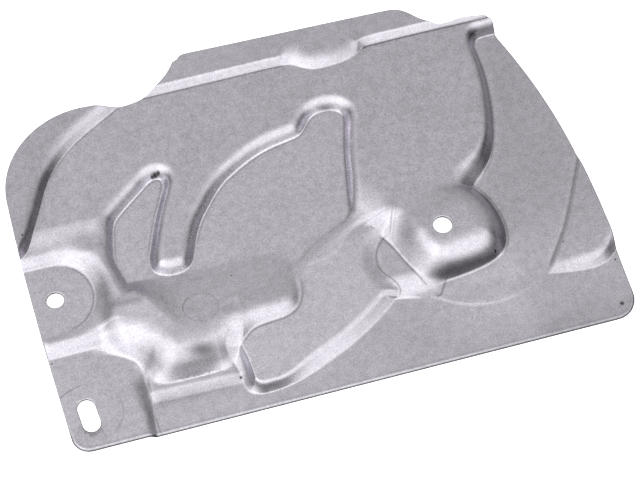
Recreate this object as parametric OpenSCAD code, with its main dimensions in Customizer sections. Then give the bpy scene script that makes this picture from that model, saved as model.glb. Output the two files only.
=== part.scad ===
// Starter heat shield: one pressed steel sheet with a raised starter bulge,
// a bolt boss, a round hole pad, a slot pad, two sunken pockets and raised
// border areas. Millimetres. X runs along the long bottom edge, Y across the
// sheet, Z up. Z = 0 is the underside of the low border strip.

/* [Sheet] */
// thickness of the steel sheet
sheet_t = 1.2; // [0.8:0.1:1.6]
// pitch of the lattice the pressed surface is drawn on
pitch = 4.4; // [4.4:0.2:6]

/* [Levels above the border strip] */
// main flat area of the shield
land_h = 12; // [10:0.5:14]
// area between the starter bulge and the boss, at its curved step
middle_h = 4.6; // [4:0.2:6]
// floor of the two pockets
pocket_h = 6.6; // [5:0.2:8]
// pad around the left bolt hole
pad_h = 6.6; // [5:0.2:8]
// rim below the left hole pad
rim_h = 8; // [7:0.2:9]
// pad around the slot
slot_pad_h = 2.6; // [1.6:0.2:3.6]
// small hollow beside the boss
hollow_h = 4.2; // [3.4:0.2:5]
// right-hand area outside the main flat
right_h = 3.6; // [3:0.2:5]
// top of the bolt boss
boss_h = 15.4; // [14:0.2:17]
// raised upper left lobe
lobe_h = 16.8; // [15:0.2:18]
// raised top flange
flange_h = 15.6; // [14.4:0.2:17]
// crown of the starter bulge
bulge_h = 14.4; // [13:0.2:16]

/* [Holes] */
// left bolt hole diameter
left_hole_d = 8.8; // [6:0.2:12]
// boss bolt hole diameter
boss_hole_d = 9.8; // [6:0.2:14]
// slot width
slot_w = 8.8; // [6:0.2:10]
// slot length over the round ends
slot_l = 17.6; // [14:0.2:20]

/* [Hidden] */
left_hole = [-133.2, -20];
boss_hole = [62.2, -35.2];
slot_at = [-130.2, -83.7];
slot_lean = 5.6;
$fn = 96;

// ---- base lines of the pressed walls, corner points in plan -------------
// faint crease in front of the boss
apron_c = [[44,-64],[50,-68],[56,-72.5],[65,-76.5],[75,-78.5],[86,-78],[96,-75],[104,-72.5],[112,-71],[150,-60],[150,90],[40,90],[40,-50]];
// small hollow between the middle area and the boss
hollow_c = [[20,-20],[10,-40],[18,-60],[30,-62],[38,-64],[46,-66.5],[52.5,-66.5],[54.2,-63],[58,-58],[66,-52],[80,-44],[80,-25],[62,-15],[40,-15]];
// slot pad at the lower left
slot_c = [[-160,-120],[-101,-120],[-100.5,-100],[-99.8,-87],[-98.5,-81],[-98,-77],[-99,-73.5],[-97,-69],[-88,-62],[-80,-50],[-80,-30],[-160,-30]];
// main flat area with its right-hand wall
land_c = [[-160,-50.5],[-122,-50.5],[-114,-49],[-104,-48],[-90,-50],[-60,-52],[-46,-46],[0,-42],[15,-36],[24,-29.5],[31,-27.8],[38,-27.8],[44,-30],[60,-34],[76,-28],[84,-18],[88,-12],[94.5,-6],[100,0],[104,7],[107.5,15.5],[111,27.5],[113.5,40],[115,51],[115.5,62],[115,71],[117,76],[122,77],[150,77],[150,130],[-160,130]];
// bolt boss
boss_c = [[87,-11],[91,-17],[94,-25],[95.5,-34],[95.2,-43],[92.5,-50],[87,-54.8],[80,-57.6],[71,-59.2],[62,-60],[50,-60.5],[20,-60.5],[20,10],[70,10]];
// left foot of the boss
boss_left_c = [[50,-64],[46.5,-58],[43,-51.5],[40,-45],[37.5,-38],[35,-32],[31.5,-27],[27,-20],[24,0],[30,30],[130,30],[130,-90],[58,-90]];
// middle area with its curved step down to the border strip
middle_c = [[20,25],[37,10],[37,-27.5],[34,-28.5],[30.5,-31.5],[28,-35],[26.5,-39],[26,-43.5],[28,-48.5],[32,-53.5],[34,-57.5],[33,-60.5],[26,-66.5],[16,-73.5],[6.5,-79],[-2.5,-83.5],[-11,-87],[-19.5,-90.5],[-28,-93],[-36,-94.3],[-44,-94.8],[-49.5,-94.3],[-53.5,-92.5],[-55,-88],[-55.5,-82],[-56.5,-77],[-58.5,-72],[-59.5,-68],[-58,-64],[-54,-59],[-50,-52],[-50,-30],[-20,25]];
// triangular pocket, tongue and long pocket in one line
pocket_c = [[-80,-46],[-88,-36],[-93.5,-27],[-96.5,-20.5],[-98.5,-12],[-100,-5.5],[-98,5],[-96,14.5],[-91.5,19],[-85.5,24],[-79,29],[-74.5,33],[-70.5,35],[-67,34],[-67,30],[-69.5,24.5],[-73.5,16.5],[-77,8.5],[-81,-2.5],[-84,-11],[-83.5,-18],[-79,-21.5],[-72.5,-23],[-65.5,-21.5],[-61.5,-16.5],[-59,-9],[-56,-2],[-52.5,4.5],[-48.5,9.5],[-43,16.5],[-36.5,23],[-29.5,27.5],[-22.5,31.5],[-15,35],[-7,37.5],[1.5,39],[8,40.2],[11.8,43.5],[14.6,47.3],[18,50.4],[23,52],[29,51.5],[33.5,48.5],[33.5,44],[31.5,37.5],[28,25.5],[25.5,13.5],[23,2],[21.5,-6.5],[20.5,-12],[16.5,-14],[10.5,-16.5],[2.5,-20],[-5,-24.5],[-12.5,-30],[-20,-36],[-60,-46]];
// upper left lobe
lobe_c = [[-150,3],[-143,5.5],[-139,11],[-134.5,20],[-130,29.5],[-126,39],[-121.5,47],[-115,55],[-108,61.5],[-99,68],[-89.5,73.5],[-83.5,77],[-76,81.5],[-70,95],[-70,130],[-160,130],[-160,3]];
// top flange with its small downward lobe
flange_c = [[-90,82],[-75,82],[-60,82],[-20,82.5],[10,83],[16,81.5],[21,77.5],[28,75],[38,75.5],[46,76.5],[51,79],[54.5,82.5],[60,83],[90,83.5],[150,83.5],[150,130],[-90,130]];
// raised corner on the right edge
corner_c = [[152,8],[147,-3],[142,-14],[136,-24.5],[131.5,-33],[125.5,-43.5],[120,-51.5],[114.5,-58.5],[110,-64.5],[104,-72],[95,-90],[170,-90],[170,8]];
// front foot of the raised corner
corner_front_c = [[60,-66],[104,-69.5],[112.5,-70.5],[121.5,-72],[129,-72.5],[135.5,-72],[141,-70],[146,-65],[155,-60],[200,-50],[200,60],[60,60]];
// right foot of the starter bulge
bulge_c = [[-62,-160],[-58.5,-84],[-56.5,-78.5],[-53.6,-73.6],[-51,-70],[-47,-65.7],[-43.2,-62.7],[-38.3,-61.4],[-32,-60.9],[-25,-60.2],[-18.6,-57.1],[-15.1,-51.8],[-13.5,-45],[-13,-38],[-13.2,-31],[-14,-20],[-15,20],[-200,20],[-200,-160]];
// left foot of the bulge
bulge_left_c = [[-97.5,-81.5],[-98.8,-77.5],[-100.8,-73],[-103.2,-69.5],[-107,-65],[-112,-61],[-119,-56],[-127,-51.5],[-141,-47],[-170,-41],[-170,60],[40,60],[40,-120],[-91,-120]];

// ---- helpers ---------------------------------------------------------------
// one round of corner cutting on a closed line
function cut(p) = [for (i = [0:len(p)-1]) let (a = p[i], b = p[(i+1) % len(p)]) each [0.75*a + 0.25*b, 0.25*a + 0.75*b]];
// a region: its bounding box and the edges of its smoothed line
function region(c) = let (p = cut(cut(c)), n = len(p), xs = [for (q = p) q[0]], ys = [for (q = p) q[1]])
  [[min(xs), min(ys), max(xs), max(ys)],
   [for (i = [0:n-1]) let (a = p[i], e = p[(i+1) % n] - a) if (e*e > 0) [a, e, e*e]]];
// vector from a point to the nearest point of an edge
function to_edge(g, q) = let (w = q - g[0], t = max(0, min(1, (w*g[1])/g[2]))) t*g[1] - w;
// true where an upward ray from the point crosses the edge
function crosses(g, q) = let (a = g[0], b = g[0] + g[1]) ((a[1] > q[1]) != (b[1] > q[1])) && (q[0] < g[1][0]*(q[1]-a[1])/g[1][1] + a[0]);
function inside(r, q) = len([for (g = r[1]) if (crosses(g, q)) 1]) % 2 == 1;
function gap(r, q) = sqrt(min([for (g = r[1]) let (v = to_edge(g, q)) v*v]));
function boxed(r, q, m) = q[0] > r[0][0]-m && q[0] < r[0][2]+m && q[1] > r[0][1]-m && q[1] < r[0][3]+m;
// 0 outside a base line, rising to 1 at the depth w inside it
function rise(r, q, w) = !boxed(r, q, 0) ? 0 : !inside(r, q) ? 0 : min(1, gap(r, q)/w);
// depth inside a base line, up to m
function depth(r, q, m) = !boxed(r, q, 0) ? 0 : !inside(r, q) ? 0 : min(m, gap(r, q));
// positive part of d, rounded over a band of r to both sides of zero
function over(d, r) = d > r ? d : d < -r ? 0 : (d + r)*(d + r)/(4*r);
// 0 inside a base line, rising to 1 at the distance w outside it
function rim(r, q, w) = !boxed(r, q, w) ? 1 : inside(r, q) ? 0 : min(1, gap(r, q)/w);
// wall section: foot radius up to a, straight flank up to b, shoulder of power k
function wall(t, a, b, k) = let (u = max(0, min(1, t)), s = 1/(a/2 + b-a + (1-b)/(k+1)))
  u < a ? s*u*u/(2*a) : u < b ? s*(u - a/2) : 1 - s*(1-b)/(k+1)*pow((1-u)/(1-b), k+1);
function ease(t) = let (u = max(0, min(1, t))) u*u*(3 - 2*u);
function mix(a, b, m) = a + (b - a)*m;

apron = region(apron_c);
hollow = region(hollow_c);
slot_pad = region(slot_c);
land = region(land_c);
boss = region(boss_c);
boss_left = region(boss_left_c);
middle = region(middle_c);
pocket = region(pocket_c);
lobe = region(lobe_c);
flange = region(flange_c);
corner = region(corner_c);
corner_front = region(corner_front_c);
bulge = region(bulge_c);
bulge_left = region(bulge_left_c);

// ---- height of the upper face over the plan ------------------------------
// border strip with the toe and the slot pad
function strip(q) = let (x = q[0], y = q[1],
    z0 = right_h*ease((y + 96)/62)*ease((x - 30)/50) + 0.22*wall(rise(apron, q, 2.2), 0.3, 0.7, 1)*ease((x - 36)/8)*ease((112 - x)/40),
    toe = wall((y + 85.3 + 0.03*(x + 95))/6.8, 0.15, 0.8, 1)*wall((x + 101)/4, 0.2, 0.6, 1)*ease((-50 - x)/8))
  mix(z0 + 1.5*toe, slot_pad_h, wall(rise(slot_pad, q, 4.6 + 5*ease((y + 92)/16)), 0.12, 0.5, 1));
// small hollow, tipping towards the strip at its mouth
function hollow_z(q) = hollow_h - (hollow_h - 0.5)*ease((-50 - q[1])/15);
function low(q, z) = mix(z, hollow_z(q), wall(rise(hollow, q, 1.6), 0.3, 0.7, 1));
function pad_gap(q) = norm([max(q[0] - left_hole[0], 0), q[1] - left_hole[1]]) - 19;
// middle area, tipped towards its curved step
function mid_z(q) = middle_h + 0.085*(-0.5*(q[0] + 11) + 0.87*(q[1] + 84));
// main flat area, falling to the middle area, the rim and the hole pad
function land_z(q) = let (x = q[0], y = q[1],
    fm = ease((x + 66)/34)*ease((8 - y)/36)*ease((42 - x)/18),
    fr = ease((-24 - y)/20)*ease((-105 - x)/12),
    g = pow(max(0, 1 - pow((y - 9)/10, 2)), 2))
  land_h + (mid_z(q) - land_h)*fm + (rim_h - land_h)*fr - 1.2*g*ease((-97 - x)/14) - 1.5*ease(1 - pad_gap(q)/16)*(1 - fr);
function land_w(q) = 8.2 + 5.6*ease((60 - q[0])/20)*ease((12 - q[1])/20)*ease((q[0] - 8)/12) + 2.4*ease((-100 - q[0])/10)
  + 7.5*ease((14 - q[1])/22)*ease((q[0] - 68)/10);
// raised areas: middle, main flat, bolt boss, then the pockets cut into them
function raised(q) = let (x = q[0], y = q[1],
    zs = strip(q), zl = low(q, zs),
    zm = mix(zl, mid_z(q), wall(rise(middle, q, 5 + 4*ease((x + 38)/22) + 6*ease((-45 - x)/8)), 0.12, 0.6, 1)),
    zd = mix(zl, land_z(q), wall(rise(land, q, land_w(q)), 0.1, 0.34 + 0.26*ease((-100 - x)/10), 1.5)),
    fa = ease((y + 28)/28), fb = ease((-0.6*(x - 62.2) + 0.8*(y + 35.2) - 6)/18),
    zh = zs + (hollow_z(q) - zs)*ease((66 - x)/16)*ease((y + 64)/10)*ease((x - 20)/10),
    zb = mix(zh, boss_h - 3.8*(fa + fb - fa*fb), wall(rise(boss, q, 19), 0.06, 0.26, 1.7)*wall(rise(boss_left, q, 17), 0.08, 0.5, 1.2)),
    z1 = zm + over(zd - zm, 0.4),
    z2 = z1 + over(zb - z1, 0.8))
  mix(pocket_h, z2, wall(rim(pocket, q, 8.4), 0.14, 0.3, 1.5));
// starter bulge: a long low back, a rounded front
function bulged(q, z) = let (x = q[0], y = q[1],
    foot = min(mix(mix(1.3, mid_z(q), ease((x + 64)/14)), pocket_h, ease((y + 62)/24)), z) - 0.5,
    m = wall((y + 78.7)/21, 0.05, 0.28, 1.9)
      * wall(rise(bulge, q, 12 + 9*ease((-44 - x)/18)), 0.05, 0.28, 1.9)
      * wall(rise(bulge_left, q, 20 + 4*ease((y + 80)/24)), 0.06 + 0.24*ease((y + 77)/8), 0.45, 1.2)
      * wall((-19 - y)/(38 - 25*ease((-74 - x)/22)), 0.1, 0.65, 1.2),
    crown = bulge_h - 3.8*ease((x + 70)/58) + (land_z(q) - bulge_h)*ease((-80 - x)/28))
  z + over(foot + (crown - foot)*m - z, 0.5);
function height(q) = let (x = q[0], y = q[1],
    z1 = bulged(q, raised(q)),
    z2 = mix(pad_h, z1, wall(pad_gap(q)/(8 + 2*ease((-20 - y)/15) + 4*ease((x + 135)/16)), 0.14, 0.5, 1.2)),
    z3 = mix(z2, lobe_h, wall(rise(lobe, q, 6.4 + 2.8*ease((y - 42)/25)), 0.1, 0.3, 1.4)),
    f = ease((x - 9)/8)*ease((53 - x)/8),
    z4 = mix(z3, flange_h, wall(rise(flange, q, 4.4 + 10*f), 0.1 - 0.04*f, 0.7 - 0.5*f, 1 + f)),
    dc = depth(corner, q, 40))
  // the blends above lift the border strip by a quarter of a millimetre
  sheet_t - 0.25 + z4 + (1.2*wall(dc/3, 0.2, 0.6, 1) + 0.15*dc)*wall(rise(corner_front, q, 9), 0.08, 0.35, 1.4);

// ---- outline of the sheet in plan -----------------------------------------
function arc(c, r, a0, a1, n) = [for (i = [0:n]) let (a = a0 + (a1 - a0)*i/n) [c[0] + r*cos(a), c[1] + r*sin(a)]];
outline = concat(
  arc([-131.8,-93], 9, 183, 270, 8),      // lower left corner
  arc([133.5,-90], 12, 270, 360, 9),      // lower right corner
  arc([-189.5,-30], 335, 0, 18.2, 12),    // long bowed right edge
  arc([121.8,78.8], 6.6, 20, 100, 6),     // tab corner
  [[115,85.8],[110,86],[105,85.4],[100,85.2],[96,86],[92,88.2],[88.5,91],[85.5,94.5],[83,97],[80,99],[76,100.2],[71,100.4]],
  arc([-38,97], 5, 92, 150, 5),           // flange end corner
  arc([-77,117.3], 37, -31, -90, 9),      // hollow curve below the flange end
  [[-84,80.6],[-91,81.8]],
  arc([-98.6,35.4], 46.8, 88, 180, 16),   // large lobe corner
  [[-145.4,0],[-143.9,-40]]);
out_n = len(outline);
out_edges = [for (i = [0:out_n-1]) let (a = outline[i], e = outline[(i+1) % out_n] - a) if (e*e > 0) [a, e, e*e]];
out_r = [[-146,-103,146,103], out_edges];

// ---- lattice ---------------------------------------------------------------
x0 = -149; y0 = -105.6;
nx = ceil(298/pitch); ny = ceil(211.2/pitch);
function id(i, j) = i + j*(nx + 1);
// a cell is kept when its middle is inside the outline or just beyond it
function kept_at(q) = boxed(out_r, q, pitch) && (inside(out_r, q) || gap(out_r, q) < 0.75*pitch);
keep = [for (j = [0:ny-1]) [for (i = [0:nx-1]) kept_at([x0 + (i+0.5)*pitch, y0 + (j+0.5)*pitch]) ? 1 : 0]];
function kp(i, j) = i < 0 || j < 0 || i >= nx || j >= ny ? 0 : keep[j][i];
function used(i, j) = kp(i,j) + kp(i-1,j) + kp(i,j-1) + kp(i-1,j-1) > 0;
// lattice points close to a base line are moved onto it, so folds stay sharp
folds = [land, boss, boss_left, middle, pocket, lobe, flange, corner, corner_front, bulge, bulge_left];
function to_line(r, q) = let (vs = [for (g = r[1]) to_edge(g, q)], ds = [for (v = vs) v*v], m = min(ds)) vs[search(m, ds)[0]];
function snap(q) = let (
    vs = [for (r = folds) if (boxed(r, q, 1.4)) to_line(r, q)],
    ds = [for (v = vs) v*v],
    m = len(ds) == 0 ? 9 : min(ds))
  m > 1.9 ? q : q + vs[search(m, ds)[0]];
top = [for (j = [0:ny]) for (i = [0:nx]) let (q = [x0 + i*pitch, y0 + j*pitch])
  used(i, j) ? let (s = snap(q)) [s[0], s[1], height(s)] : [q[0], q[1], 0]];
function at(i, j) = top[id(max(0, min(nx, i)), max(0, min(ny, j)))];
function ok(i, j) = i >= 0 && j >= 0 && i <= nx && j <= ny && used(i, j);
// unit normal of the lattice quadrant between two neighbours of a point
function quad_n(i, j, a, b) = !(ok(i+a[0], j+a[1]) && ok(i+b[0], j+b[1])) ? [0,0,0] :
  let (p = at(i,j), c = cross(at(i+a[0], j+a[1]) - p, at(i+b[0], j+b[1]) - p)) c/norm(c);
// offset that keeps the sheet thickness on all faces that meet at a point
function sink(i, j) = let (
    s = quad_n(i,j,[1,0],[0,1]) + quad_n(i,j,[0,1],[-1,0]) + quad_n(i,j,[-1,0],[0,-1]) + quad_n(i,j,[0,-1],[1,0]),
    c = norm(quad_n(i,j,[1,0],[0,1])) + norm(quad_n(i,j,[0,1],[-1,0])) + norm(quad_n(i,j,[-1,0],[0,-1])) + norm(quad_n(i,j,[0,-1],[1,0])))
  c == 0 ? [0,0,-sheet_t] : -sheet_t*c*s/(s*s);
under = [for (j = [0:ny]) for (i = [0:nx]) used(i, j) ? at(i,j) + sink(i,j) : [x0 + i*pitch, y0 + j*pitch, -sheet_t]];
np = len(top);
// each cell is split along the diagonal that follows the fold
top_f = [for (j = [0:ny-1]) for (i = [0:nx-1]) if (kp(i,j) == 1)
  let (a = id(i,j), b = id(i+1,j), c = id(i+1,j+1), d = id(i,j+1))
  each abs(top[a][2] - top[c][2]) <= abs(top[b][2] - top[d][2]) ? [[a,c,b],[a,d,c]] : [[a,d,b],[b,d,c]]];
under_f = [for (f = top_f) [f[0]+np, f[2]+np, f[1]+np]];
function side(a, b) = [[a, b, b+np], [a, b+np, a+np]];
side_f = [for (j = [0:ny-1]) for (i = [0:nx-1]) if (kp(i,j) == 1) each concat(
  kp(i,j-1) == 0 ? side(id(i,j), id(i+1,j)) : [],
  kp(i+1,j) == 0 ? side(id(i+1,j), id(i+1,j+1)) : [],
  kp(i,j+1) == 0 ? side(id(i+1,j+1), id(i,j+1)) : [],
  kp(i-1,j) == 0 ? side(id(i,j+1), id(i,j)) : [])];

module pressed_sheet() {
  polyhedron(points = concat(top, under), faces = concat(top_f, under_f, side_f), convexity = 8);
}

// ---- the part ---------------------------------------------------------------
module shield() {
  color([0.72, 0.72, 0.74]) difference() {
    intersection() {
      pressed_sheet();
      translate([0, 0, -4]) linear_extrude(height = 30) polygon(outline);
    }
    translate([left_hole[0], left_hole[1], -4]) cylinder(h = 30, d = left_hole_d);
    translate([boss_hole[0], boss_hole[1], -4]) cylinder(h = 30, d = boss_hole_d);
    translate([slot_at[0], slot_at[1], -4]) rotate([0, 0, slot_lean]) {
      translate([0, (slot_l - slot_w)/2, 0]) cylinder(h = 30, d = slot_w);
      translate([0, -(slot_l - slot_w)/2, 0]) cylinder(h = 30, d = slot_w);
      translate([-slot_w/2, -(slot_l - slot_w)/2, 0]) cube([slot_w, slot_l - slot_w, 30]);
    }
  }
}

shield();
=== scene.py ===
import math
import time

import bpy
import numpy as np
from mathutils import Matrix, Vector
from mathutils.geometry import delaunay_2d_cdt


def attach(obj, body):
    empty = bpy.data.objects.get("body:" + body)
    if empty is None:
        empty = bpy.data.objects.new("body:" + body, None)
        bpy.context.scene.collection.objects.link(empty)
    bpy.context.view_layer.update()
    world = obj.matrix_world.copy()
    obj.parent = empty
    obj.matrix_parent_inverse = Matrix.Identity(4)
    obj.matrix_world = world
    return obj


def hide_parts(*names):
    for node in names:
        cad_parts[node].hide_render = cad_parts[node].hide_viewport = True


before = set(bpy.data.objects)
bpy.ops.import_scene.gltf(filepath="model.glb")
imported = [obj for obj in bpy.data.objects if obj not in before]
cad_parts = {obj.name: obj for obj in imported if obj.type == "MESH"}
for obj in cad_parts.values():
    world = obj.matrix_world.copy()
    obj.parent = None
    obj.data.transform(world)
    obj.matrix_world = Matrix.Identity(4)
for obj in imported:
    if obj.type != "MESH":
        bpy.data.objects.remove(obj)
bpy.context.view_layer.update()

MM = 0.001
T = 1.2            # sheet thickness

# ---------------------------------------------------------------------------
# camera first: looks down on the sheet, 60 degrees above the floor
# ---------------------------------------------------------------------------
scene = bpy.context.scene


def make_camera():
    target = np.array([1.16, -25.50, 13.2])
    el, az, dist = math.radians(60.0), math.radians(15.7), 900.0
    fw = np.array([math.sin(az) * math.cos(el), math.cos(az) * math.cos(el), -math.sin(el)])
    pos = target - dist * fw
    data = bpy.data.cameras.new("camera")
    data.lens = 101.25
    data.sensor_width = 36.0
    data.sensor_fit = "HORIZONTAL"
    data.clip_start = 0.01
    data.clip_end = 50.0
    cam = bpy.data.objects.new("camera", data)
    cam.location = Vector(pos * MM)
    cam.rotation_euler = Vector(fw).to_track_quat("-Z", "Y").to_euler()
    scene.collection.objects.link(cam)
    scene.camera = cam
    return cam


camera = make_camera()

# ---------------------------------------------------------------------------
# the pressed surface: one height function over the plan, in millimetres
# ---------------------------------------------------------------------------
LEVEL = dict(slot=2.6, hollow=4.2, right=3.6, middle=4.6, land=12.0, boss=15.4, rim=8.0,
             pad=6.6, pocket=6.6, lobe=16.8, flange=15.6, bulge=14.4)
HOLE_A, R_A = (-133.2, -20.0), 4.4
HOLE_B, R_B = (62.2, -35.2), 4.9
SLOT_C, SLOT_W, SLOT_L, SLOT_LEAN = (-130.2, -83.7), 8.8, 17.6, 5.6

LINES = dict(
    # faint crease in front of the boss
    apron=[(44, -64), (50, -68), (56, -72.5), (65, -76.5), (75, -78.5), (86, -78), (96, -75), (104, -72.5), (112, -71), (150, -60), (150, 90), (40, 90), (40, -50)],
    # small hollow between the middle area and the boss
    hollow=[(20, -20), (10, -40), (18, -60), (30, -62), (38, -64), (46, -66.5), (52.5, -66.5), (54.2, -63), (58, -58), (66, -52), (80, -44), (80, -25), (62, -15), (40, -15)],
    # slot pad at the lower left
    slot=[(-160, -120), (-101, -120), (-100.5, -100), (-99.8, -87), (-98.5, -81), (-98, -77), (-99, -73.5), (-97, -69), (-88, -62), (-80, -50), (-80, -30), (-160, -30)],
    # main flat area with its right-hand wall
    land=[(-160, -50.5), (-122, -50.5), (-114, -49), (-104, -48), (-90, -50), (-60, -52), (-46, -46), (0, -42), (15, -36), (24, -29.5), (31, -27.8), (38, -27.8), (44, -30), (60, -34), (76, -28), (84, -18), (88, -12), (94.5, -6), (100, 0), (104, 7), (107.5, 15.5), (111, 27.5), (113.5, 40), (115, 51), (115.5, 62), (115, 71), (117, 76), (122, 77), (150, 77), (150, 130), (-160, 130)],
    # bolt boss
    boss=[(87, -11), (91, -17), (94, -25), (95.5, -34), (95.2, -43), (92.5, -50), (87, -54.8), (80, -57.6), (71, -59.2), (62, -60), (50, -60.5), (20, -60.5), (20, 10), (70, 10)],
    # left foot of the boss
    boss_left=[(50, -64), (46.5, -58), (43, -51.5), (40, -45), (37.5, -38), (35, -32), (31.5, -27), (27, -20), (24, 0), (30, 30), (130, 30), (130, -90), (58, -90)],
    # middle area with its curved step down to the border strip
    middle=[(20, 25), (37, 10), (37, -27.5), (34, -28.5), (30.5, -31.5), (28, -35), (26.5, -39), (26, -43.5), (28, -48.5), (32, -53.5), (34, -57.5), (33, -60.5), (26, -66.5), (16, -73.5), (6.5, -79), (-2.5, -83.5), (-11, -87), (-19.5, -90.5), (-28, -93), (-36, -94.3), (-44, -94.8), (-49.5, -94.3), (-53.5, -92.5), (-55, -88), (-55.5, -82), (-56.5, -77), (-58.5, -72), (-59.5, -68), (-58, -64), (-54, -59), (-50, -52), (-50, -30), (-20, 25)],
    # triangular pocket, tongue and long pocket in one line
    pocket=[(-80, -46), (-88, -36), (-93.5, -27), (-96.5, -20.5), (-98.5, -12), (-100, -5.5), (-98, 5), (-96, 14.5), (-91.5, 19), (-85.5, 24), (-79, 29), (-74.5, 33), (-70.5, 35), (-67, 34), (-67, 30), (-69.5, 24.5), (-73.5, 16.5), (-77, 8.5), (-81, -2.5), (-84, -11), (-83.5, -18), (-79, -21.5), (-72.5, -23), (-65.5, -21.5), (-61.5, -16.5), (-59, -9), (-56, -2), (-52.5, 4.5), (-48.5, 9.5), (-43, 16.5), (-36.5, 23), (-29.5, 27.5), (-22.5, 31.5), (-15, 35), (-7, 37.5), (1.5, 39), (8, 40.2), (11.8, 43.5), (14.6, 47.3), (18, 50.4), (23, 52), (29, 51.5), (33.5, 48.5), (33.5, 44), (31.5, 37.5), (28, 25.5), (25.5, 13.5), (23, 2), (21.5, -6.5), (20.5, -12), (16.5, -14), (10.5, -16.5), (2.5, -20), (-5, -24.5), (-12.5, -30), (-20, -36), (-60, -46)],
    # upper left lobe
    lobe=[(-150, 3), (-143, 5.5), (-139, 11), (-134.5, 20), (-130, 29.5), (-126, 39), (-121.5, 47), (-115, 55), (-108, 61.5), (-99, 68), (-89.5, 73.5), (-83.5, 77), (-76, 81.5), (-70, 95), (-70, 130), (-160, 130), (-160, 3)],
    # top flange with its small downward lobe
    flange=[(-90, 82), (-75, 82), (-60, 82), (-20, 82.5), (10, 83), (16, 81.5), (21, 77.5), (28, 75), (38, 75.5), (46, 76.5), (51, 79), (54.5, 82.5), (60, 83), (90, 83.5), (150, 83.5), (150, 130), (-90, 130)],
    # raised corner on the right edge
    corner=[(152, 8), (147, -3), (142, -14), (136, -24.5), (131.5, -33), (125.5, -43.5), (120, -51.5), (114.5, -58.5), (110, -64.5), (104, -72), (95, -90), (170, -90), (170, 8)],
    # front foot of the raised corner
    corner_front=[(60, -66), (104, -69.5), (112.5, -70.5), (121.5, -72), (129, -72.5), (135.5, -72), (141, -70), (146, -65), (155, -60), (200, -50), (200, 60), (60, 60)],
    # right foot of the starter bulge
    bulge=[(-62, -160), (-58.5, -84), (-56.5, -78.5), (-53.6, -73.6), (-51, -70), (-47, -65.7), (-43.2, -62.7), (-38.3, -61.4), (-32, -60.9), (-25, -60.2), (-18.6, -57.1), (-15.1, -51.8), (-13.5, -45), (-13, -38), (-13.2, -31), (-14, -20), (-15, 20), (-200, 20), (-200, -160)],
    # left foot of the bulge
    bulge_left=[(-97.5, -81.5), (-98.8, -77.5), (-100.8, -73), (-103.2, -69.5), (-107, -65), (-112, -61), (-119, -56), (-127, -51.5), (-141, -47), (-170, -41), (-170, 60), (40, 60), (40, -120), (-91, -120)],
)


def cut_corners(points, rounds):
    p = np.array(points, float)
    for _ in range(rounds):
        q = np.roll(p, -1, axis=0)
        p = np.stack([0.75 * p + 0.25 * q, 0.25 * p + 0.75 * q], 1).reshape(-1, 2)
    return p


REGION = {k: cut_corners(v, 3) for k, v in LINES.items()}
TILE = 6.0


class Points:
    """Plan points sorted into square tiles, so distances only look at near edges."""

    def __init__(self, x, y):
        self.x, self.y = np.asarray(x, float).ravel(), np.asarray(y, float).ravel()
        key = np.floor(self.x / TILE).astype(int) * 100000 + np.floor(self.y / TILE).astype(int)
        order = np.argsort(key, kind="stable")
        cuts = np.flatnonzero(np.diff(key[order])) + 1
        self.tiles = []
        for idx in np.split(order, cuts):
            tx, ty = self.x[idx], self.y[idx]
            self.tiles.append((idx, tx.min(), tx.max(), ty.min(), ty.max()))


def signed(poly, pts, reach):
    """Signed distance to a closed line, negative inside, exact up to reach."""
    a = np.asarray(poly)
    b = np.roll(a, -1, axis=0)
    e = b - a
    ee = (e * e).sum(1)
    use = ee > 1e-12
    a, b, e, ee = a[use], b[use], e[use], ee[use]
    lo, hi = np.minimum(a, b), np.maximum(a, b)
    slope = e[:, 0] / np.where(e[:, 1] == 0, 1e-30, e[:, 1])
    out = np.empty(pts.x.shape)
    for idx, x0, x1, y0, y1 in pts.tiles:
        x, y = pts.x[idx], pts.y[idx]
        near = (lo[:, 0] - reach <= x1) & (hi[:, 0] + reach >= x0) & (lo[:, 1] - reach <= y1) & (hi[:, 1] + reach >= y0)
        d = np.full(x.shape, reach * reach * 1.0001)
        if near.any():
            dx = x[:, None] - a[near, 0]
            dy = y[:, None] - a[near, 1]
            t = np.clip((dx * e[near, 0] + dy * e[near, 1]) / ee[near], 0, 1)
            dd = (dx - t * e[near, 0]) ** 2 + (dy - t * e[near, 1]) ** 2
            d = np.minimum(d, dd.min(1))
        band = (lo[:, 1] <= y1) & (hi[:, 1] >= y0) & (hi[:, 0] >= x0)
        c = np.zeros(x.shape, int)
        if band.any():
            ab, bb, sb = a[band], b[band], slope[band]
            up = (ab[:, 1] > y[:, None]) != (bb[:, 1] > y[:, None])
            c = (up & (x[:, None] < sb * (y[:, None] - ab[:, 1]) + ab[:, 0])).sum(1)
        out[idx] = np.where(c % 2 == 1, -np.sqrt(d), np.sqrt(d))
    return out


def wall(t, a, b, k=1.0):
    t = np.clip(t, 0, 1)
    s = 1 / (a / 2 + (b - a) + (1 - b) / (k + 1))
    return np.where(t < a, s * t * t / (2 * a), np.where(t < b, s * (t - a / 2), 1 - s * (1 - b) / (k + 1) * ((1 - t) / (1 - b)) ** (k + 1)))


def ease(t):
    t = np.clip(t, 0, 1)
    return t * t * (3 - 2 * t)


def mix(a, b, m):
    return a + (b - a) * m


def over(d, r):
    """Positive part of d, rounded over a band of r to both sides of zero."""
    return np.where(d > r, d, np.where(d < -r, 0, (d + r) ** 2 / (4 * r)))


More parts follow.
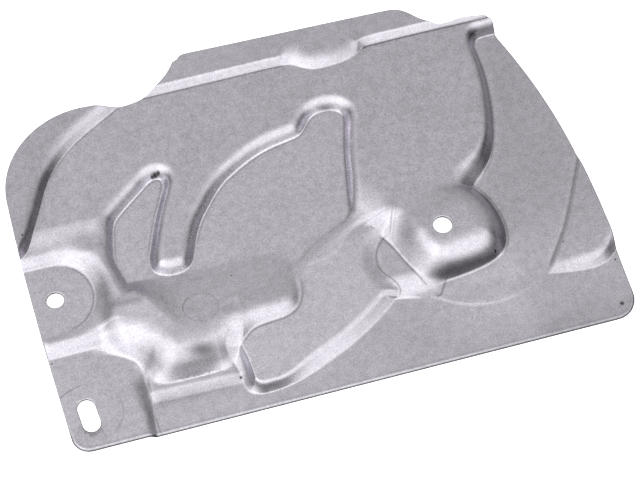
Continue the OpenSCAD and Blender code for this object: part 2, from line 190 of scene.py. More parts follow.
def height(pts):
    x, y, L = pts.x, pts.y, LEVEL

    def deep(name, reach):
        """How far a point lies inside a foot line."""
        return np.clip(-signed(REGION[name], pts, reach + 0.5), 0, reach)

    # low border: level strip that climbs slowly behind the boss, with a faint crease
    z = L["right"] * ease((y + 96) / 62) * ease((x - 30) / 50)
    z = z + 0.22 * wall(deep("apron", 2.2) / 2.2, 0.3, 0.7) * ease((x - 36) / 8) * ease((112 - x) / 40)
    # toe in front of the bulge
    toe = wall((y + 85.3 + 0.03 * (x + 95)) / 6.8, 0.15, 0.8) * wall((x + 101) / 4, 0.2, 0.6) * ease((-50 - x) / 8)
    z = z + 1.5 * toe
    # slot pad
    ws = 4.6 + 5.0 * ease((y + 92) / 16)
    z = mix(z, L["slot"], wall(deep("slot", 12.5) / ws, 0.12, 0.5))
    strip = z
    # hollow, tipping towards the strip at its mouth
    hollow = L["hollow"] - (L["hollow"] - 0.5) * ease((-50 - y) / 15)
    z = mix(z, hollow, wall(deep("hollow", 1.6) / 1.6, 0.3, 0.7))
    low = z
    # middle area, tipping towards the curved step
    mid = L["middle"] + 0.085 * ((x + 11) * -0.5 + (y + 84) * 0.87)
    h_mid = mix(low, mid, wall(deep("middle", 11) / (5.0 + 4.0 * ease((x + 38) / 22) + 6.0 * ease((-45 - x) / 8)), 0.12, 0.6))
    # main flat area
    fm = ease((x + 66) / 34) * ease((-y + 8) / 36) * ease((42 - x) / 18)
    fr = ease((-24 - y) / 20) * ease((-105 - x) / 12)
    g = np.clip(1 - ((y - 9) / 10) ** 2, 0, 1) ** 2
    pad = np.hypot(np.maximum(x - HOLE_A[0], 0), y - HOLE_A[1]) - 19
    land = L["land"] + (mid - L["land"]) * fm + (L["rim"] - L["land"]) * fr - 1.2 * g * ease((-97 - x) / 14) - 1.5 * ease(1 - pad / 16) * (1 - fr)
    w_land = 8.2 + 5.6 * ease((60 - x) / 20) * ease((12 - y) / 20) * ease((x - 8) / 12) + 2.4 * ease((-100 - x) / 10) + 7.5 * ease((14 - y) / 22) * ease((x - 68) / 10)
    h_land = mix(low, land, wall(deep("land", 15) / w_land, 0.10, 0.34 + 0.26 * ease((-100 - x) / 10), 1.5))
    # boss: round pillow
    m_boss = wall(deep("boss", 20) / 19, 0.06, 0.26, 1.7) * wall(deep("boss_left", 18) / 17, 0.08, 0.5, 1.2)
    fa, fb = ease((y + 28) / 28), ease((-0.6 * (x - 62.2) + 0.8 * (y + 35.2) - 6) / 18)
    h_boss = mix(strip + (hollow - strip) * ease((66 - x) / 16) * ease((y + 64) / 10) * ease((x - 20) / 10), L["boss"] - 3.8 * (fa + fb - fa * fb), m_boss)
    z = h_mid + over(h_land - h_mid, 0.4)
    z = z + over(h_boss - z, 0.8)
    # pockets
    z = mix(L["pocket"], z, wall(np.clip(signed(REGION["pocket"], pts, 9) / 8.4, 0, 1), 0.14, 0.30, 1.5))
    # starter bulge: a long low back, a rounded front
    foot = np.minimum(mix(mix(1.3, mid, ease((x + 64) / 14)), L["pocket"], ease((y + 62) / 24)), z) - 0.5
    w_b = 12.0 + 9.0 * ease((-44 - x) / 18)
    m_b = wall((y + 78.7) / 21, 0.05, 0.28, 1.9) * wall(deep("bulge", 22) / w_b, 0.05, 0.28, 1.9)
    m_b = m_b * wall(deep("bulge_left", 25) / (20 + 4 * ease((y + 80) / 24)), 0.06 + 0.24 * ease((y + 77) / 8), 0.45, 1.2)
    m_b = m_b * wall((-19 - y) / (38 - 25 * ease((-74 - x) / 22)), 0.1, 0.65, 1.2)
    crown = L["bulge"] - 3.8 * ease((x + 70) / 58) + (land - L["bulge"]) * ease((-80 - x) / 28)
    z = z + over(foot + (crown - foot) * m_b - z, 0.5)
    # hole pad on the left edge
    z = mix(L["pad"], z, wall(pad / (8.0 + 2.0 * ease((-20 - y) / 15) + 4.0 * ease((x + 135) / 16)), 0.14, 0.5, 1.2))
    # upper left lobe, top flange with its soft downward lobe
    z = mix(z, L["lobe"], wall(deep("lobe", 9.5) / (6.4 + 2.8 * ease((y - 42) / 25)), 0.1, 0.3, 1.4))
    f = ease((x - 9) / 8) * ease((53 - x) / 8)
    z = mix(z, L["flange"], wall(deep("flange", 15) / (4.4 + 10.0 * f), 0.1 - 0.04 * f, 0.7 - 0.5 * f, 1 + f))
    # raised corner: a fold, then a slope up to the right edge
    dc = deep("corner", 40)
    z = z + (1.2 * wall(dc / 3.0, 0.2, 0.6) + 0.15 * dc) * wall(deep("corner_front", 10) / 9.0, 0.08, 0.35, 1.4)
    return z + T - 0.25       # the blends above lift the border strip by a quarter of a millimetre


# ---------------------------------------------------------------------------
# outline and holes
# ---------------------------------------------------------------------------
def arc(cx, cy, r, a0, a1, step=0.8):
    n = max(2, int(abs(math.radians(a1 - a0)) * r / step))
    return [(cx + r * math.cos(math.radians(a0 + (a1 - a0) * i / n)), cy + r * math.sin(math.radians(a0 + (a1 - a0) * i / n))) for i in range(n + 1)]


def outline():
    p = []
    p += arc(-131.8, -93, 9, 183, 270)
    p += arc(133.5, -90, 12, 270, 360)
    p += arc(-189.5, -30, 335, 0, 18.2)
    p += arc(121.8, 78.8, 6.6, 20, 100)
    tab = [(115, 85.8), (110, 86), (105, 85.4), (100, 85.2), (96, 86), (92, 88.2), (88.5, 91), (85.5, 94.5), (83, 97), (80, 99), (76, 100.2), (71, 100.4)]
    t = np.array([p[-1]] + tab)
    for _ in range(2):
        q = np.empty((len(t) * 2 - 2, 2))
        q[0::2] = 0.75 * t[:-1] + 0.25 * t[1:]
        q[1::2] = 0.25 * t[:-1] + 0.75 * t[1:]
        t = np.vstack([t[:1], q, t[-1:]])
    p += [tuple(v) for v in t[1:]]
    p += arc(-38, 97, 5, 92, 150)
    p += arc(-77, 117.3, 37, -31, -90)
    p += [(-84, 80.6), (-91, 81.8)]
    p += arc(-98.6, 35.4, 46.8, 88, 180)
    p += [(-145.4, 0), (-143.9, -40)]
    return np.array(p)


def resample(loop, step):
    out = []
    for i in range(len(loop)):
        a, b = loop[i], loop[(i + 1) % len(loop)]
        d = math.hypot(*(b - a))
        if d < 0.05:
            continue
        n = max(1, round(d / step))
        out += [a + (b - a) * k / n for k in range(n)]
    return np.array(out)


def circle(c, r, n=72):
    return np.array([(c[0] + r * math.cos(2 * math.pi * i / n), c[1] + r * math.sin(2 * math.pi * i / n)) for i in range(n)])


def slot_loop():
    r, h = SLOT_W / 2, (SLOT_L - SLOT_W) / 2
    p = [(r * math.cos(math.radians(a)), h + r * math.sin(math.radians(a))) for a in range(0, 181, 6)]
    p += [(r * math.cos(math.radians(a)), -h + r * math.sin(math.radians(a))) for a in range(180, 361, 6)]
    c, s = math.cos(math.radians(SLOT_LEAN)), math.sin(math.radians(SLOT_LEAN))
    return resample(np.array([(SLOT_C[0] + c * u - s * v, SLOT_C[1] + s * u + c * v) for u, v in p]), 0.6)


OUT = resample(outline(), 0.8)
HOLES = [circle(HOLE_A, R_A), circle(HOLE_B, R_B), slot_loop()]


def edge_gap(pts, reach=2.0):
    """Distance to the nearest cut edge, and whether the point is on the sheet."""
    d = -signed(OUT, pts, reach)
    for h in HOLES:
        d = np.minimum(d, signed(h, pts, reach))
    return d


REGION["pad"] = np.array([(-170, -1.0)] + arc(HOLE_A[0], HOLE_A[1], 19, 90, -90) + [(-170, -39.0)])
ROLL_W, ROLL_H = 0.55, 0.22


def surface(pts):
    z = height(pts)
    f = ease((-86 - pts.y) / 8)                 # the long front edge is rolled over more
    u = np.clip(1 - edge_gap(pts) / (ROLL_W + 0.75 * f), 0, 1)
    return z - (ROLL_H + 0.33 * f) * u * u


# short straight creases, drawn only as painted shade lines: x0, y0, x1, y1, darkness
CREASES = [(41.4, -17.5, 37.0, -28.0, 0.50), (43.2, -18.0, 38.6, -28.5, 0.25), (-99.0, -101.5, -99.6, -93.0, 0.45)]


def paint(pts):
    """Tone of the metal over the plan: painted shade and painted highlight lines along the folds and the cut edge,
    painted light and shade on some walls and hollows, and darker and lighter patches.
    """
    x, y = pts.x, pts.y

    def painted_fold_line(name, dark, width, where, shift=0.0):
        d = signed(REGION[name], pts, 8.0) - shift
        return 1 - dark * np.exp(-(d / width) ** 2) * where

    def blob(cx, cy, rx, ry, turn=0.0):
        c, s = math.cos(math.radians(turn)), math.sin(math.radians(turn))
        u, v = (x - cx) * c + (y - cy) * s, (y - cy) * c - (x - cx) * s
        return np.exp(-(u / rx) ** 2 - (v / ry) ** 2)

    t = np.ones_like(x)
    # painted shade: thin dark lines in the folds; a negative darkness makes a painted highlight line instead
    t *= painted_fold_line("middle", 0.50, 0.40, ease((x - 24) / 3) * ease((-27 - y) / 2) * ease((y + 62) / 3))
    t *= painted_fold_line("boss_left", 0.50, 0.40, ease((-27 - y) / 2) * ease((y + 60) / 2) * ease((70 - x) / 6))
    t *= painted_fold_line("hollow", 0.55, 0.40, ease((x - 49) / 2) * ease((60 - x) / 4) * ease((-56 - y) / 3))
    t *= painted_fold_line("boss", 0.45, 0.35, ease((y + 52) / 4) * ease((-8 - y) / 4) * ease((x - 80) / 3), 0.2)
    t *= painted_fold_line("boss", -0.50, 0.55, ease((x - 52) / 4) * ease((-50 - y) / 4), -0.3)
    t *= painted_fold_line("land", -0.20, 0.50, ease((x - 88) / 3) * ease((8 - y) / 5), -0.4)
    t *= painted_fold_line("bulge", 0.45, 0.45, ease((x + 52) / 6) * ease((-40 - y) / 5))
    t *= painted_fold_line("pocket", 0.50, 0.50, ease((x - 17) / 2) * ease((48 - y) / 3) * ease((y + 16) / 4), 0.3)
    arcs = ease((22 - x) / 3) * ease((y + 10) / 6)
    # painted light on the soft walls facing left, so they show no harder shade than the metal beside them
    d = signed(REGION["pocket"], pts, 8.0)
    t *= 1 + 0.34 * ease((d - 0.9) / 1.6) * ease((5.5 - d) / 1.8) * ease((x - 17) / 2) * ease((46 - y) / 6) * ease((y + 18) / 5)
    # painted shade line and painted highlight line along most of the pocket's foot line
    t *= painted_fold_line("pocket", 0.35, 0.30, arcs, -0.40) * painted_fold_line("pocket", -0.20, 0.50, arcs, 0.45)
    # painted shade lines and bands along the pad, main flat, flange, lobe, corner and slot folds, with a painted
    # highlight line beside the corner's; the top of the upper left lobe a little darker
    t *= painted_fold_line("pad", 0.45, 0.40, ease((x + 134) / 8) * ease((-y - 2) / 4))
    t *= painted_fold_line("pad", 0.18, 0.50, ease((-128 - x) / 6) * ease((y + 12) / 6), 1.6)
    t *= painted_fold_line("land", 0.35, 0.60, ease((x - 92) / 4) * ease((74 - y) / 6), -0.2)
    t *= painted_fold_line("land", 0.25, 1.00, ease((x - 92) / 4) * ease((74 - y) / 6), -2.0)
    t *= painted_fold_line("flange", 0.75, 0.50, ease((x - 54) / 2))
    t *= painted_fold_line("flange", 0.60, 0.45, ease((14 - x) / 6))
    t *= painted_fold_line("lobe", 0.26, 2.80, ease((60 - y) / 20) * ease((y - 3) / 5), -2.4)
    t *= 1 - 0.09 * ease(-signed(REGION["lobe"], pts, 8.0) / 5)
    t *= painted_fold_line("lobe", 0.30, 0.50, ease((y - 40) / 10))
    t *= painted_fold_line("corner", 0.38, 0.50, ease((y + 68) / 6), -0.3)
    t *= painted_fold_line("corner", -0.12, 0.80, ease((y + 68) / 6), 1.2)
    t *= painted_fold_line("slot", 0.30, 2.20, ease((x + 112) / 6) * ease((-90 - x) / 4) * ease((y + 101) / 3), -2.4)
    # deep shade on the steep front of the boss
    t *= painted_fold_line("boss", 0.70, 3.00, ease((x - 50) / 6) * ease((92 - x) / 8) * ease((-50 - y) / 5), -3.0)
    t *= painted_fold_line("boss", 0.45, 2.40, ease((x - 86) / 5) * ease((y + 56) / 5) * ease((-14 - y) / 6), -2.4)
    # painted shade of a shallow dent on the front of the bulge, and darker spots at two far corners of the pockets
    t *= 1 - 0.74 * blob(-69.6, -68.6, 8.4, 3.6, -4)
    t *= 1 - 0.60 * blob(-69.2, 36.4, 2.6, 1.3, -10)
    t *= 1 - 0.50 * blob(26.0, 53.4, 4.0, 1.3, -12)
    # painted shade lines along the short creases
    for x0, y0, x1, y1, dark in CREASES:
        turn = math.degrees(math.atan2(y1 - y0, x1 - x0))
        t *= 1 - dark * blob((x0 + x1) / 2, (y0 + y1) / 2, math.hypot(x1 - x0, y1 - y0) / 2, 0.4, turn)
    # pocket floors a little lighter; painted shade around the small downward lobe of the flange, in the valley beside
    # the top left of the boss, at the boss's lower left foot, at the left foot of the bulge and along the toe in front
    # of the bulge
    t *= 1 + 0.05 * ease(-signed(REGION["pocket"], pts, 8.0) / 3)
    t *= 1 - 0.30 * blob(55.5, 83.2, 1.8, 1.2)
    t *= 1 - 0.22 * blob(53, 84.5, 4.5, 5.0)
    t *= 1 - 0.22 * blob(42, 81.0, 9.0, 5.0, 14) - 0.16 * blob(27, 84.5, 7.0, 3.5)
    t *= 1 - 0.12 * blob(20.5, -24, 7.0, 4.0, 25) - 0.14 * blob(32, -22, 7.0, 6.0)
    t *= 1 - 0.35 * blob(51, -55.5, 6.0, 3.0, -50)
    t *= 1 - 0.30 * blob(-103.5, -78, 2.6, 7, 8)
    t *= 1 - 0.26 * np.exp(-((y + 84.4) / 3.0) ** 2) * ease((x + 99) / 4) * ease((-55 - x) / 3)
    # darker sheet outside the main flat on the right, along the front strip and in front of the boss; a broad lighter
    # patch at the left edge of the middle area and a darker one at the lower left corner
    out = ease(signed(REGION["land"], pts, 8.0) / 4)
    t *= 1 - 0.10 * out * ease((x - 88) / 10)
    t *= 1 - 0.05 * out * ease((x + 20) / 60) * ease((-62 - y) / 8)
    t *= 1 - 0.10 * blob(70, -69, 20, 6, -4)
    t *= 1 + 0.14 * blob(-52, -42, 34, 13, 8)
    t *= 1 - 0.10 * blob(-131, -95, 11, 6)
    # lighter streaks beside the boss
    t *= 1 + 0.10 * blob(96, -66.5, 10, 1.2, -59) + 0.10 * blob(102, -65.5, 7, 1.0, -54)
    # cut edge: painted shade on the lip, most of all along the front, where a second painted shade line and a painted
    # highlight line run just inside it
    f = ease((-86 - y) / 8)
    g = np.clip(edge_gap(pts, 3.0), 0, 3)
    t *= 1 - (0.25 + 0.62 * f) * np.exp(-(g / (0.30 + 0.16 * f + 0.2 * f * ease(x / 120))) ** 2)
    t *= 1 - 0.20 * f * np.exp(-((g - 2.0) / 0.4) ** 2)
    t *= 1 + 0.10 * f * np.exp(-((g - 1.2) / 0.4) ** 2)
    return np.clip(t, 0.12, 1.5)


def lift(x, y, f, e=0.03):
    """Height and unit normal of the surface f."""
    z = f(Points(x, y))
    gx = (f(Points(x + e, y)) - z) / e
    gy = (f(Points(x, y + e)) - z) / e
    n = np.stack([-gx, -gy, np.ones_like(gx)], 1)
    return z, n / np.linalg.norm(n, axis=1, keepdims=True)


# ---------------------------------------------------------------------------
# adaptive plan points: dense where the surface bends, sparse on the flats
# ---------------------------------------------------------------------------
def bending():
    """Curvature of the surface on a coarse grid."""
    gx = np.arange(-147, 148, 1.25)
    gy = np.arange(-104, 105, 1.25)
    X, Y = np.meshgrid(gx, gy)
    e = 0.8
    z0 = height(Points(X, Y)).reshape(X.shape)
    zx = height(Points(X + e, Y)).reshape(X.shape) + height(Points(X - e, Y)).reshape(X.shape) - 2 * z0
    zy = height(Points(X, Y + e)).reshape(X.shape) + height(Points(X, Y - e)).reshape(X.shape) - 2 * z0
    k = np.sqrt(zx ** 2 + zy ** 2) / e ** 2
    big = k.copy()
    for dx in (-1, 0, 1):
        for dy in (-1, 0, 1):
            big = np.maximum(big, np.roll(np.roll(k, dx, 1), dy, 0))
    return gx, gy, big


def plan_points(fine, tol, levels, seed, bend):
    gx, gy, k = bend
    s = np.sqrt(8 * tol / np.maximum(k, 1e-4))
    rng = np.random.default_rng(seed)
    nx, ny = int(296 / fine), int(208 / fine)
    I, J = np.meshgrid(np.arange(nx), np.arange(ny))
    I, J = I.ravel(), J.ravel()
    lev = np.zeros(I.shape, int)
    for k in range(1, levels + 1):
        lev[(I % 2 ** k == 0) & (J % 2 ** k == 0)] = k
    x = -148 + I * fine
    y = -104 + J * fine
    ix = np.clip(np.round((x - gx[0]) / 1.25).astype(int), 0, len(gx) - 1)
    iy = np.clip(np.round((y - gy[0]) / 1.25).astype(int), 0, len(gy) - 1)
    w = s[iy, ix]
    keep = (lev == levels) | (w < fine * 2.0 ** (lev + 1) * 0.75)
    x, y, lev = x[keep], y[keep], lev[keep]
    step = fine * 2.0 ** lev
    x = x + rng.uniform(-0.18, 0.18, x.shape) * step
    y = y + rng.uniform(-0.18, 0.18, y.shape) * step
    gap = edge_gap(Points(x, y))
    ok = gap > 0.9
    return np.stack([x[ok], y[ok]], 1)


def fold_rows():
    """Rows of points along every foot line, so that folds stay crisp."""
    rows = []
    for name in ("pocket", "boss", "boss_left", "land", "middle", "hollow", "bulge", "bulge_left", "slot", "lobe", "flange", "corner", "corner_front", "pad"):
        line = resample(REGION[name], 0.6)
        t = np.roll(line, -1, 0) - np.roll(line, 1, 0)
        t /= np.linalg.norm(t, axis=1, keepdims=True)
        n = np.stack([-t[:, 1], t[:, 0]], 1)
        area = (line[:, 0] * np.roll(line[:, 1], -1) - line[:, 1] * np.roll(line[:, 0], -1)).sum()
        inside = n if (area > 0) != (name in ("pocket", "pad")) else -n
        for d in (-0.35, 0.0, 0.28, 0.56, 0.9, 1.3, 1.8):
            rows.append(line + inside * d)
    for x0, y0, x1, y1, _ in CREASES:
        k = np.linspace(-0.1, 1.1, 26)[:, None]
        line = np.array([x0, y0]) + k * np.array([x1 - x0, y1 - y0])
        n = np.array([y0 - y1, x1 - x0]) / math.hypot(x1 - x0, y1 - y0)
        for d in (-0.8, -0.4, 0.0, 0.4, 0.8):
            rows.append(line + d * n)
    p = np.vstack(rows)
    p = p[(abs(p[:, 0]) < 148) & (abs(p[:, 1]) < 104)]
    # one point per small square, so crossing rows do not crowd
    key = np.floor(p[:, 0] / 0.24).astype(int) * 10000 + np.floor(p[:, 1] / 0.24).astype(int)
    _, first = np.unique(key, return_index=True)
    p = p[np.sort(first)]
    return p[edge_gap(Points(p[:, 0], p[:, 1])) > 0.9]


def inset(loop, d, hole):
    t = np.roll(loop, -1, 0) - np.roll(loop, 1, 0)
    t /= np.linalg.norm(t, axis=1, keepdims=True)
    n = np.stack([-t[:, 1], t[:, 0]], 1)      # to the left of the walk: inside of a counter-clockwise loop
    return loop + n * (-d if hole else d)


def triangulate(free):
    loops = [OUT] + HOLES
    verts = np.vstack(loops + [free])
    edges, at = [], 0
    for lp in loops:
        n = len(lp)
        edges += [(at + i, at + (i + 1) % n) for i in range(n)]
        at += n
    res = delaunay_2d_cdt([Vector((float(a), float(b))) for a, b in verts], edges, [], 0, 1e-5, True)
    vo = np.array([(v.x, v.y) for v in res[0]])
    tri = np.array([t for t in res[2] if len(t) == 3], int)
    src = res[3]
    c = vo[tri].mean(1)
    tri = tri[edge_gap(Points(c[:, 0], c[:, 1])) > 0]
    a, b, d = vo[tri[:, 0]], vo[tri[:, 1]], vo[tri[:, 2]]
    area = (b[:, 0] - a[:, 0]) * (d[:, 1] - a[:, 1]) - (b[:, 1] - a[:, 1]) * (d[:, 0] - a[:, 0])
    tri[area < 0] = tri[area < 0][:, [0, 2, 1]]
    # map: output vertex of each input boundary vertex
    where = {}
    nb = at
    for i, s in enumerate(src):
        for q in s:
            if q < nb:
                where[q] = i
    return vo, tri, [where[i] for i in range(nb)], [len(lp) for lp in loops]


def build_sheet():
    fine = 0.67
    tol = 0.006
    t0 = time.time()
    bend = bending()
    top_free = plan_points(fine, tol, 2, 7, bend)
    rolls = []
    for lp, hole in [(OUT, False)] + [(h, True) for h in HOLES]:
        for d in (0.16, 0.36, 0.62):
            rolls.append(inset(lp, d, hole))
    for d in (0.9, 1.25, 1.7, 2.1, 2.5):
        line = inset(OUT, d, False)
        rolls.append(line[OUT[:, 1] < -86])
    rows = fold_rows()
    taken = set(map(tuple, np.floor(rows / 0.6).astype(int)))
    cell = np.floor(top_free / 0.6).astype(int)
    free = np.array([(a, b) not in taken for a, b in cell])
    top_free = np.vstack([top_free[free], rows] + rolls)
    low_free = plan_points(1.4, 0.02, 2, 11, bend)
    print('points', time.time() - t0)
    vt, ft, bt, sizes = triangulate(top_free)
    vl, fl, bl, _ = triangulate(low_free)
    print('cdt', time.time() - t0)
    zt, nt = lift(vt[:, 0], vt[:, 1], surface)
    pt = np.column_stack([vt, zt])
    zl, nl = lift(vl[:, 0], vl[:, 1], height)
    print('lift', time.time() - t0)
    pl = np.column_stack([vl, zl]) - T * nl
    # the cut edge is square to the floor
    bl_i = np.array(bl)
    pl[bl_i, :2] = vl[bl_i]
    pl[bl_i, 2] = zl[bl_i] - T / nl[bl_i, 2]
    nv = len(pt)
    verts = np.vstack([pt, pl])
    faces = np.vstack([ft, fl[:, [0, 2, 1]] + nv])
    loop_n = np.vstack([nt[ft.ravel()], -nl[fl[:, [0, 2, 1]].ravel()]])
    rim, rim_n = [], []
    at = 0
    for si, n in enumerate(sizes):
        out_sign = 1 if si == 0 else -1
        lp = ([OUT] + HOLES)[si]
        t = np.roll(lp, -1, 0) - np.roll(lp, 1, 0)
        t /= np.linalg.norm(t, axis=1, keepdims=True)
        nn = np.stack([t[:, 1], -t[:, 0], np.zeros(n)], 1) * out_sign
        for i in range(n):
            j = (i + 1) % n
            a, b = bt[at + i], bt[at + j]
            c, d = bl[at + j] + nv, bl[at + i] + nv
            if si == 0:
                rim += [(a, d, c), (a, c, b)]
                rim_n += [nn[i], nn[i], nn[j], nn[i], nn[j], nn[j]]
            else:
                rim += [(a, c, d), (a, b, c)]
                rim_n += [nn[i], nn[j], nn[i], nn[i], nn[j], nn[j]]
        at += n
    rim, rim_n = np.array(rim), np.array(rim_n)
    # holes run counter-clockwise, so their walls face the hole's axis
    faces = np.vstack([faces, rim])
    loop_n = np.vstack([loop_n, rim_n])
    me = bpy.data.meshes.new("shield_sheet")
    me.vertices.add(len(verts))
    me.vertices.foreach_set("co", (verts * MM).astype(np.float32).ravel())
    me.loops.add(len(faces) * 3)
    me.loops.foreach_set("vertex_index", faces.astype(np.int32).ravel())
    me.polygons.add(len(faces))
    me.polygons.foreach_set("loop_start", np.arange(0, len(faces) * 3, 3, dtype=np.int32))
    me.polygons.foreach_set("use_smooth", np.ones(len(faces), bool))
    me.update(calc_edges=True)
    me.validate(clean_customdata=False)
    me.normals_split_custom_set(loop_n.astype(float).tolist())
    # tone of each corner: the painted tone on top, a little darker underneath, and painted shade on the cut faces
    tone = np.concatenate([paint(Points(vt[:, 0], vt[:, 1]))[ft.ravel()], np.full(fl.size, 0.94), np.full(rim.size, 0.14)])
    me.attributes.new("tone", "FLOAT", "CORNER").data.foreach_set("value", tone.astype(np.float32))
    ob = bpy.data.objects.new("shield_sheet", me)
    scene.collection.objects.link(ob)
    print("sheet: top", len(ft), "under", len(fl), "rim", len(rim), "faces", len(me.polygons))
    return ob


# ---------------------------------------------------------------------------
# material: dull aluminised steel
# ---------------------------------------------------------------------------
PITS = [(52.6, 49.3, 0.4), (-46.2, -31.2, 0.4), (-141.5, 15.3, 0.6), (-141.8, -52.1, 0.5), (-54.9, -83.1, 0.9),
        (120.3, -55.2, 0.5), (144.0, -66.2, 0.5), (143.0, -70.7, 0.6), (137.9, -94.5, 1.2), (85.1, -52.0, 0.7),
        (-67.6, 36.8, 1.1), (-69.4, 36.5, 1.2), (-71.0, 36.0, 0.9)]
# centre x, y, ring radius, half width, window x, y, reach, depth
RINGS = [(-65.3, -46.5, 8.6, 0.35, -65.3, -46.5, 30, 0.16),
         (-65.3, -46.5, 8.9, 0.30, -73.0, -42.5, 6, 0.45),
         (56.5, 8.5, 8.7, 0.22, 55.5, 0.5, 9, 0.30),
         (-125.0, -100.0, 33.4, 0.25, -136.0, -69.0, 8, 0.50),
         (-129.0, -83.0, 15.5, 0.50, -116.0, -86.0, 13, 0.16),
         (-137.0, -99.0, 12.5, 0.45, -130.0, -92.0, 9, 0.14)]


def make_metal():
    mat = bpy.data.materials.new("aluminised_steel")
    mat.use_nodes = True
    nt = mat.node_tree
    nt.nodes.clear()
    out = nt.nodes.new("ShaderNodeOutputMaterial")
    bs = nt.nodes.new("ShaderNodeBsdfPrincipled")
    nt.links.new(bs.outputs[0], out.inputs[0])
    bs.inputs["Metallic"].default_value = 1.0
    tc = nt.nodes.new("ShaderNodeTexCoord")

    def noise(scale, detail=2.0, rough=0.5):
        n = nt.nodes.new("ShaderNodeTexNoise")
        n.inputs["Scale"].default_value = scale
        n.inputs["Detail"].default_value = detail
        n.inputs["Roughness"].default_value = rough
        nt.links.new(tc.outputs["Object"], n.inputs["Vector"])
        return n.outputs["Fac"]

    def remap(v, a, b, c, d):
        m = nt.nodes.new("ShaderNodeMapRange")
        for k, q in zip((1, 2, 3, 4), (a, b, c, d)):
            m.inputs[k].default_value = q
        nt.links.new(v, m.inputs[0])
        return m.outputs[0]

    def math_(op, a, b):
        m = nt.nodes.new("ShaderNodeMath")
        m.operation = op
        for i, v in enumerate((a, b)):
            if isinstance(v, (int, float)):
                m.inputs[i].default_value = v
            else:
                nt.links.new(v, m.inputs[i])
        return m.outputs[0]

    fine = noise(1500, 2)
    mid = noise(260, 3)
    wide = noise(40, 2)
    tone = math_("ADD", remap(fine, 0.3, 0.7, -0.12, 0.12), math_("ADD", remap(mid, 0.3, 0.7, -0.045, 0.045), remap(wide, 0.3, 0.7, -0.02, 0.02)))
    ramp = nt.nodes.new("ShaderNodeMix")
    ramp.data_type = "RGBA"
    # small marks: dark pits (x, y, radius) and faint rings (x, y, ring radius, width, reach, depth)
    flat = nt.nodes.new("ShaderNodeVectorMath")
    flat.operation = "MULTIPLY"
    flat.inputs[1].default_value = (1, 1, 0)
    nt.links.new(tc.outputs["Object"], flat.inputs[0])

    def away(cx, cy):
        d = nt.nodes.new("ShaderNodeVectorMath")
        d.operation = "DISTANCE"
        d.inputs[1].default_value = (cx * MM, cy * MM, 0)
        nt.links.new(flat.outputs[0], d.inputs[0])
        return d.outputs["Value"]

    def fade(v, a, b):
        m = nt.nodes.new("ShaderNodeMapRange")
        m.interpolation_type = "SMOOTHSTEP"
        for k, q in zip((1, 2, 3, 4), (a * MM, b * MM, 1.0, 0.0)):
            m.inputs[k].default_value = q
        nt.links.new(v, m.inputs[0])
        return m.outputs[0]

    mark = None
    for cx, cy, r in PITS:
        m = math_("MULTIPLY", fade(away(cx, cy), 0.4 * r, 1.3 * r), 0.8)
        mark = m if mark is None else math_("MAXIMUM", mark, m)
    for cx, cy, ring, w, wx, wy, reach, depth in RINGS:
        m = fade(math_("ABSOLUTE", math_("SUBTRACT", away(cx, cy), ring * MM), 0), 0.3 * w, 1.4 * w)
        m = math_("MULTIPLY", math_("MULTIPLY", m, fade(away(wx, wy), 0.6 * reach, reach)), depth)
        mark = math_("MAXIMUM", mark, m)
    at = nt.nodes.new("ShaderNodeAttribute")
    at.attribute_name = "tone"
    keep = math_("MULTIPLY", at.outputs["Fac"], math_("SUBTRACT", 1.0, mark))
    ramp.inputs[6].default_value = (0.41, 0.3935, 0.431, 1)
    ramp.inputs[7].default_value = (0.80, 0.768, 0.842, 1)
    nt.links.new(remap(tone, -0.2, 0.2, 0.0, 1.0), ramp.inputs[0])
    # base colour times the tone attribute, which carries the painted shade and painted highlights, and times the small
    # marks
    marks_and_painted_shade = nt.nodes.new("ShaderNodeVectorMath")
    marks_and_painted_shade.operation = "SCALE"
    nt.links.new(ramp.outputs[2], marks_and_painted_shade.inputs[0])
    nt.links.new(keep, marks_and_painted_shade.inputs["Scale"])
    nt.links.new(marks_and_painted_shade.outputs[0], bs.inputs["Base Color"])
    nt.links.new(remap(math_("ADD", fine, mid), 0.6, 1.4, 0.22, 0.30), bs.inputs["Roughness"])
    bump = nt.nodes.new("ShaderNodeBump")
    bump.inputs["Strength"].default_value = 0.12
    bump.inputs["Distance"].default_value = 0.0002
    nt.links.new(fine, bump.inputs["Height"])
    nt.links.new(bump.outputs[0], bs.inputs["Normal"])
    return mat


sheet = build_sheet()
metal = make_metal()
sheet.data.materials.append(metal)
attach(sheet, "root")
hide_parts("shield")


# ---------------------------------------------------------------------------
# floor, lights
# ---------------------------------------------------------------------------
def make_floor():
    me = bpy.data.meshes.new("floor")
    s = 6.0
    me.from_pydata([(-s, -s, 0), (s, -s, 0), (s, s, 0), (-s, s, 0)], [], [(0, 1, 2, 3)])
    ob = bpy.data.objects.new("floor", me)
    scene.collection.objects.link(ob)
    ob.location.z = -0.0002
    ob.visible_glossy = False
    mat = bpy.data.materials.new("pale_floor")
    mat.use_nodes = True
    nt = mat.node_tree
    bs = nt.nodes["Principled BSDF"]
    bs.inputs["Roughness"].default_value = 0.9
    bs.inputs["Specular IOR Level"].default_value = 0.1
    bs.inputs["Emission Color"].default_value = (1, 1, 1, 1)
    bs.inputs["Emission Strength"].default_value = 1.0
    n = nt.nodes.new("ShaderNodeTexNoise")
    n.inputs["Scale"].default_value = 3.0
    r = nt.nodes.new("ShaderNodeMix")
    r.data_type = "RGBA"
    r.inputs[6].default_value = (0.90, 0.90, 0.90, 1)
    r.inputs[7].default_value = (0.92, 0.92, 0.92, 1)
    nt.links.new(n.outputs["Fac"], r.inputs[0])
    nt.links.new(r.outputs[2], bs.inputs["Base Color"])
    me.materials.append(mat)
    return ob


floor = make_floor()


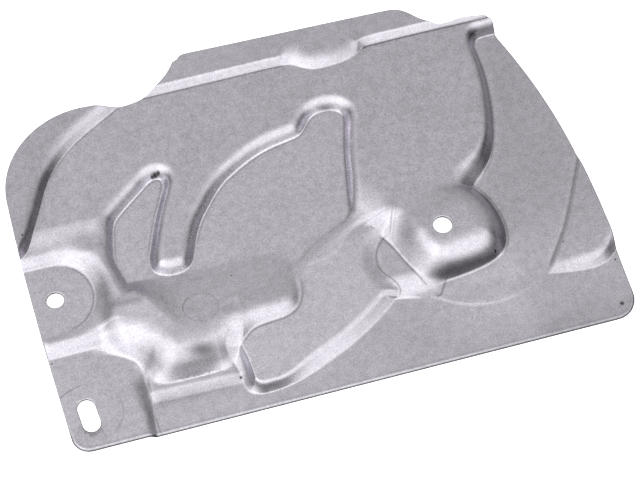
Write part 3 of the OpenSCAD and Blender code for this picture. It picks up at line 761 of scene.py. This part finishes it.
def make_lights():
    """A soft dome: bright overhead and towards the viewer, grey at the back, dark low down in front."""
    az = math.radians(15.7)
    w = bpy.data.worlds.new("studio")
    scene.world = w
    w.use_nodes = True
    nt = w.node_tree
    nt.nodes.clear()
    out = nt.nodes.new("ShaderNodeOutputWorld")
    bg = nt.nodes.new("ShaderNodeBackground")
    tc = nt.nodes.new("ShaderNodeTexCoord")
    sep = nt.nodes.new("ShaderNodeSeparateXYZ")
    nt.links.new(tc.outputs["Generated"], sep.inputs[0])

    def dot(v):
        d = nt.nodes.new("ShaderNodeVectorMath")
        d.operation = "DOT_PRODUCT"
        d.inputs[1].default_value = v
        nt.links.new(tc.outputs["Generated"], d.inputs[0])
        return d.outputs["Value"]

    def ramp(src, lo, hi, stops):
        m = nt.nodes.new("ShaderNodeMapRange")
        m.inputs[1].default_value, m.inputs[2].default_value = lo, hi
        nt.links.new(src, m.inputs[0])
        r = nt.nodes.new("ShaderNodeValToRGB")
        r.color_ramp.interpolation = "EASE"
        el = r.color_ramp.elements
        while len(el) > 1:
            el.remove(el[-1])
        for i, (p, v) in enumerate(stops):
            e = el[0] if i == 0 else el.new((p - lo) / (hi - lo))
            if i == 0:
                e.position = 0.0
            e.color = (v, v, v, 1)
        nt.links.new(m.outputs[0], r.inputs[0])
        return r.outputs[0]

    front = dot((-math.sin(az), -math.cos(az), 0))       # towards the viewer's side
    side = dot((math.cos(az), -math.sin(az), 0))          # to the right
    at = nt.nodes.new("ShaderNodeMath")
    at.operation = "ARCTAN2"
    nt.links.new(front, at.inputs[0])
    nt.links.new(sep.outputs[2], at.inputs[1])
    d = math.radians
    rise = ramp(at.outputs[0], d(-180), d(180), [(d(-180), 0.03), (d(-130), 0.05), (d(-110), 0.12), (d(-90), 0.27), (d(-50), 0.365), (d(-30), 0.42), (d(-15), 0.60), (d(8), 0.95), (d(45), 1.0), (d(60), 0.82), (d(74), 0.40), (d(90), 0.12), (d(110), 0.04), (d(180), 0.03)])
    wide = ramp(side, -1, 1, [(-1, 0.25), (-0.87, 0.60), (-0.72, 0.95), (-0.54, 1.18), (-0.34, 1.22), (-0.14, 1.05), (0.0, 0.98), (0.34, 1.0), (0.72, 0.94), (0.86, 0.60), (0.94, 0.30), (1, 0.15)])
    mul = nt.nodes.new("ShaderNodeMix")
    mul.data_type = "RGBA"
    mul.blend_type = "MULTIPLY"
    mul.inputs[0].default_value = 1.0
    nt.links.new(rise, mul.inputs[6])
    nt.links.new(wide, mul.inputs[7])
    nt.links.new(mul.outputs[2], bg.inputs[0])
    bg.inputs[1].default_value = 1.53
    nt.links.new(bg.outputs[0], out.inputs[0])


make_lights()
scene.view_settings.view_transform = "Standard"
scene.view_settings.look = "None"
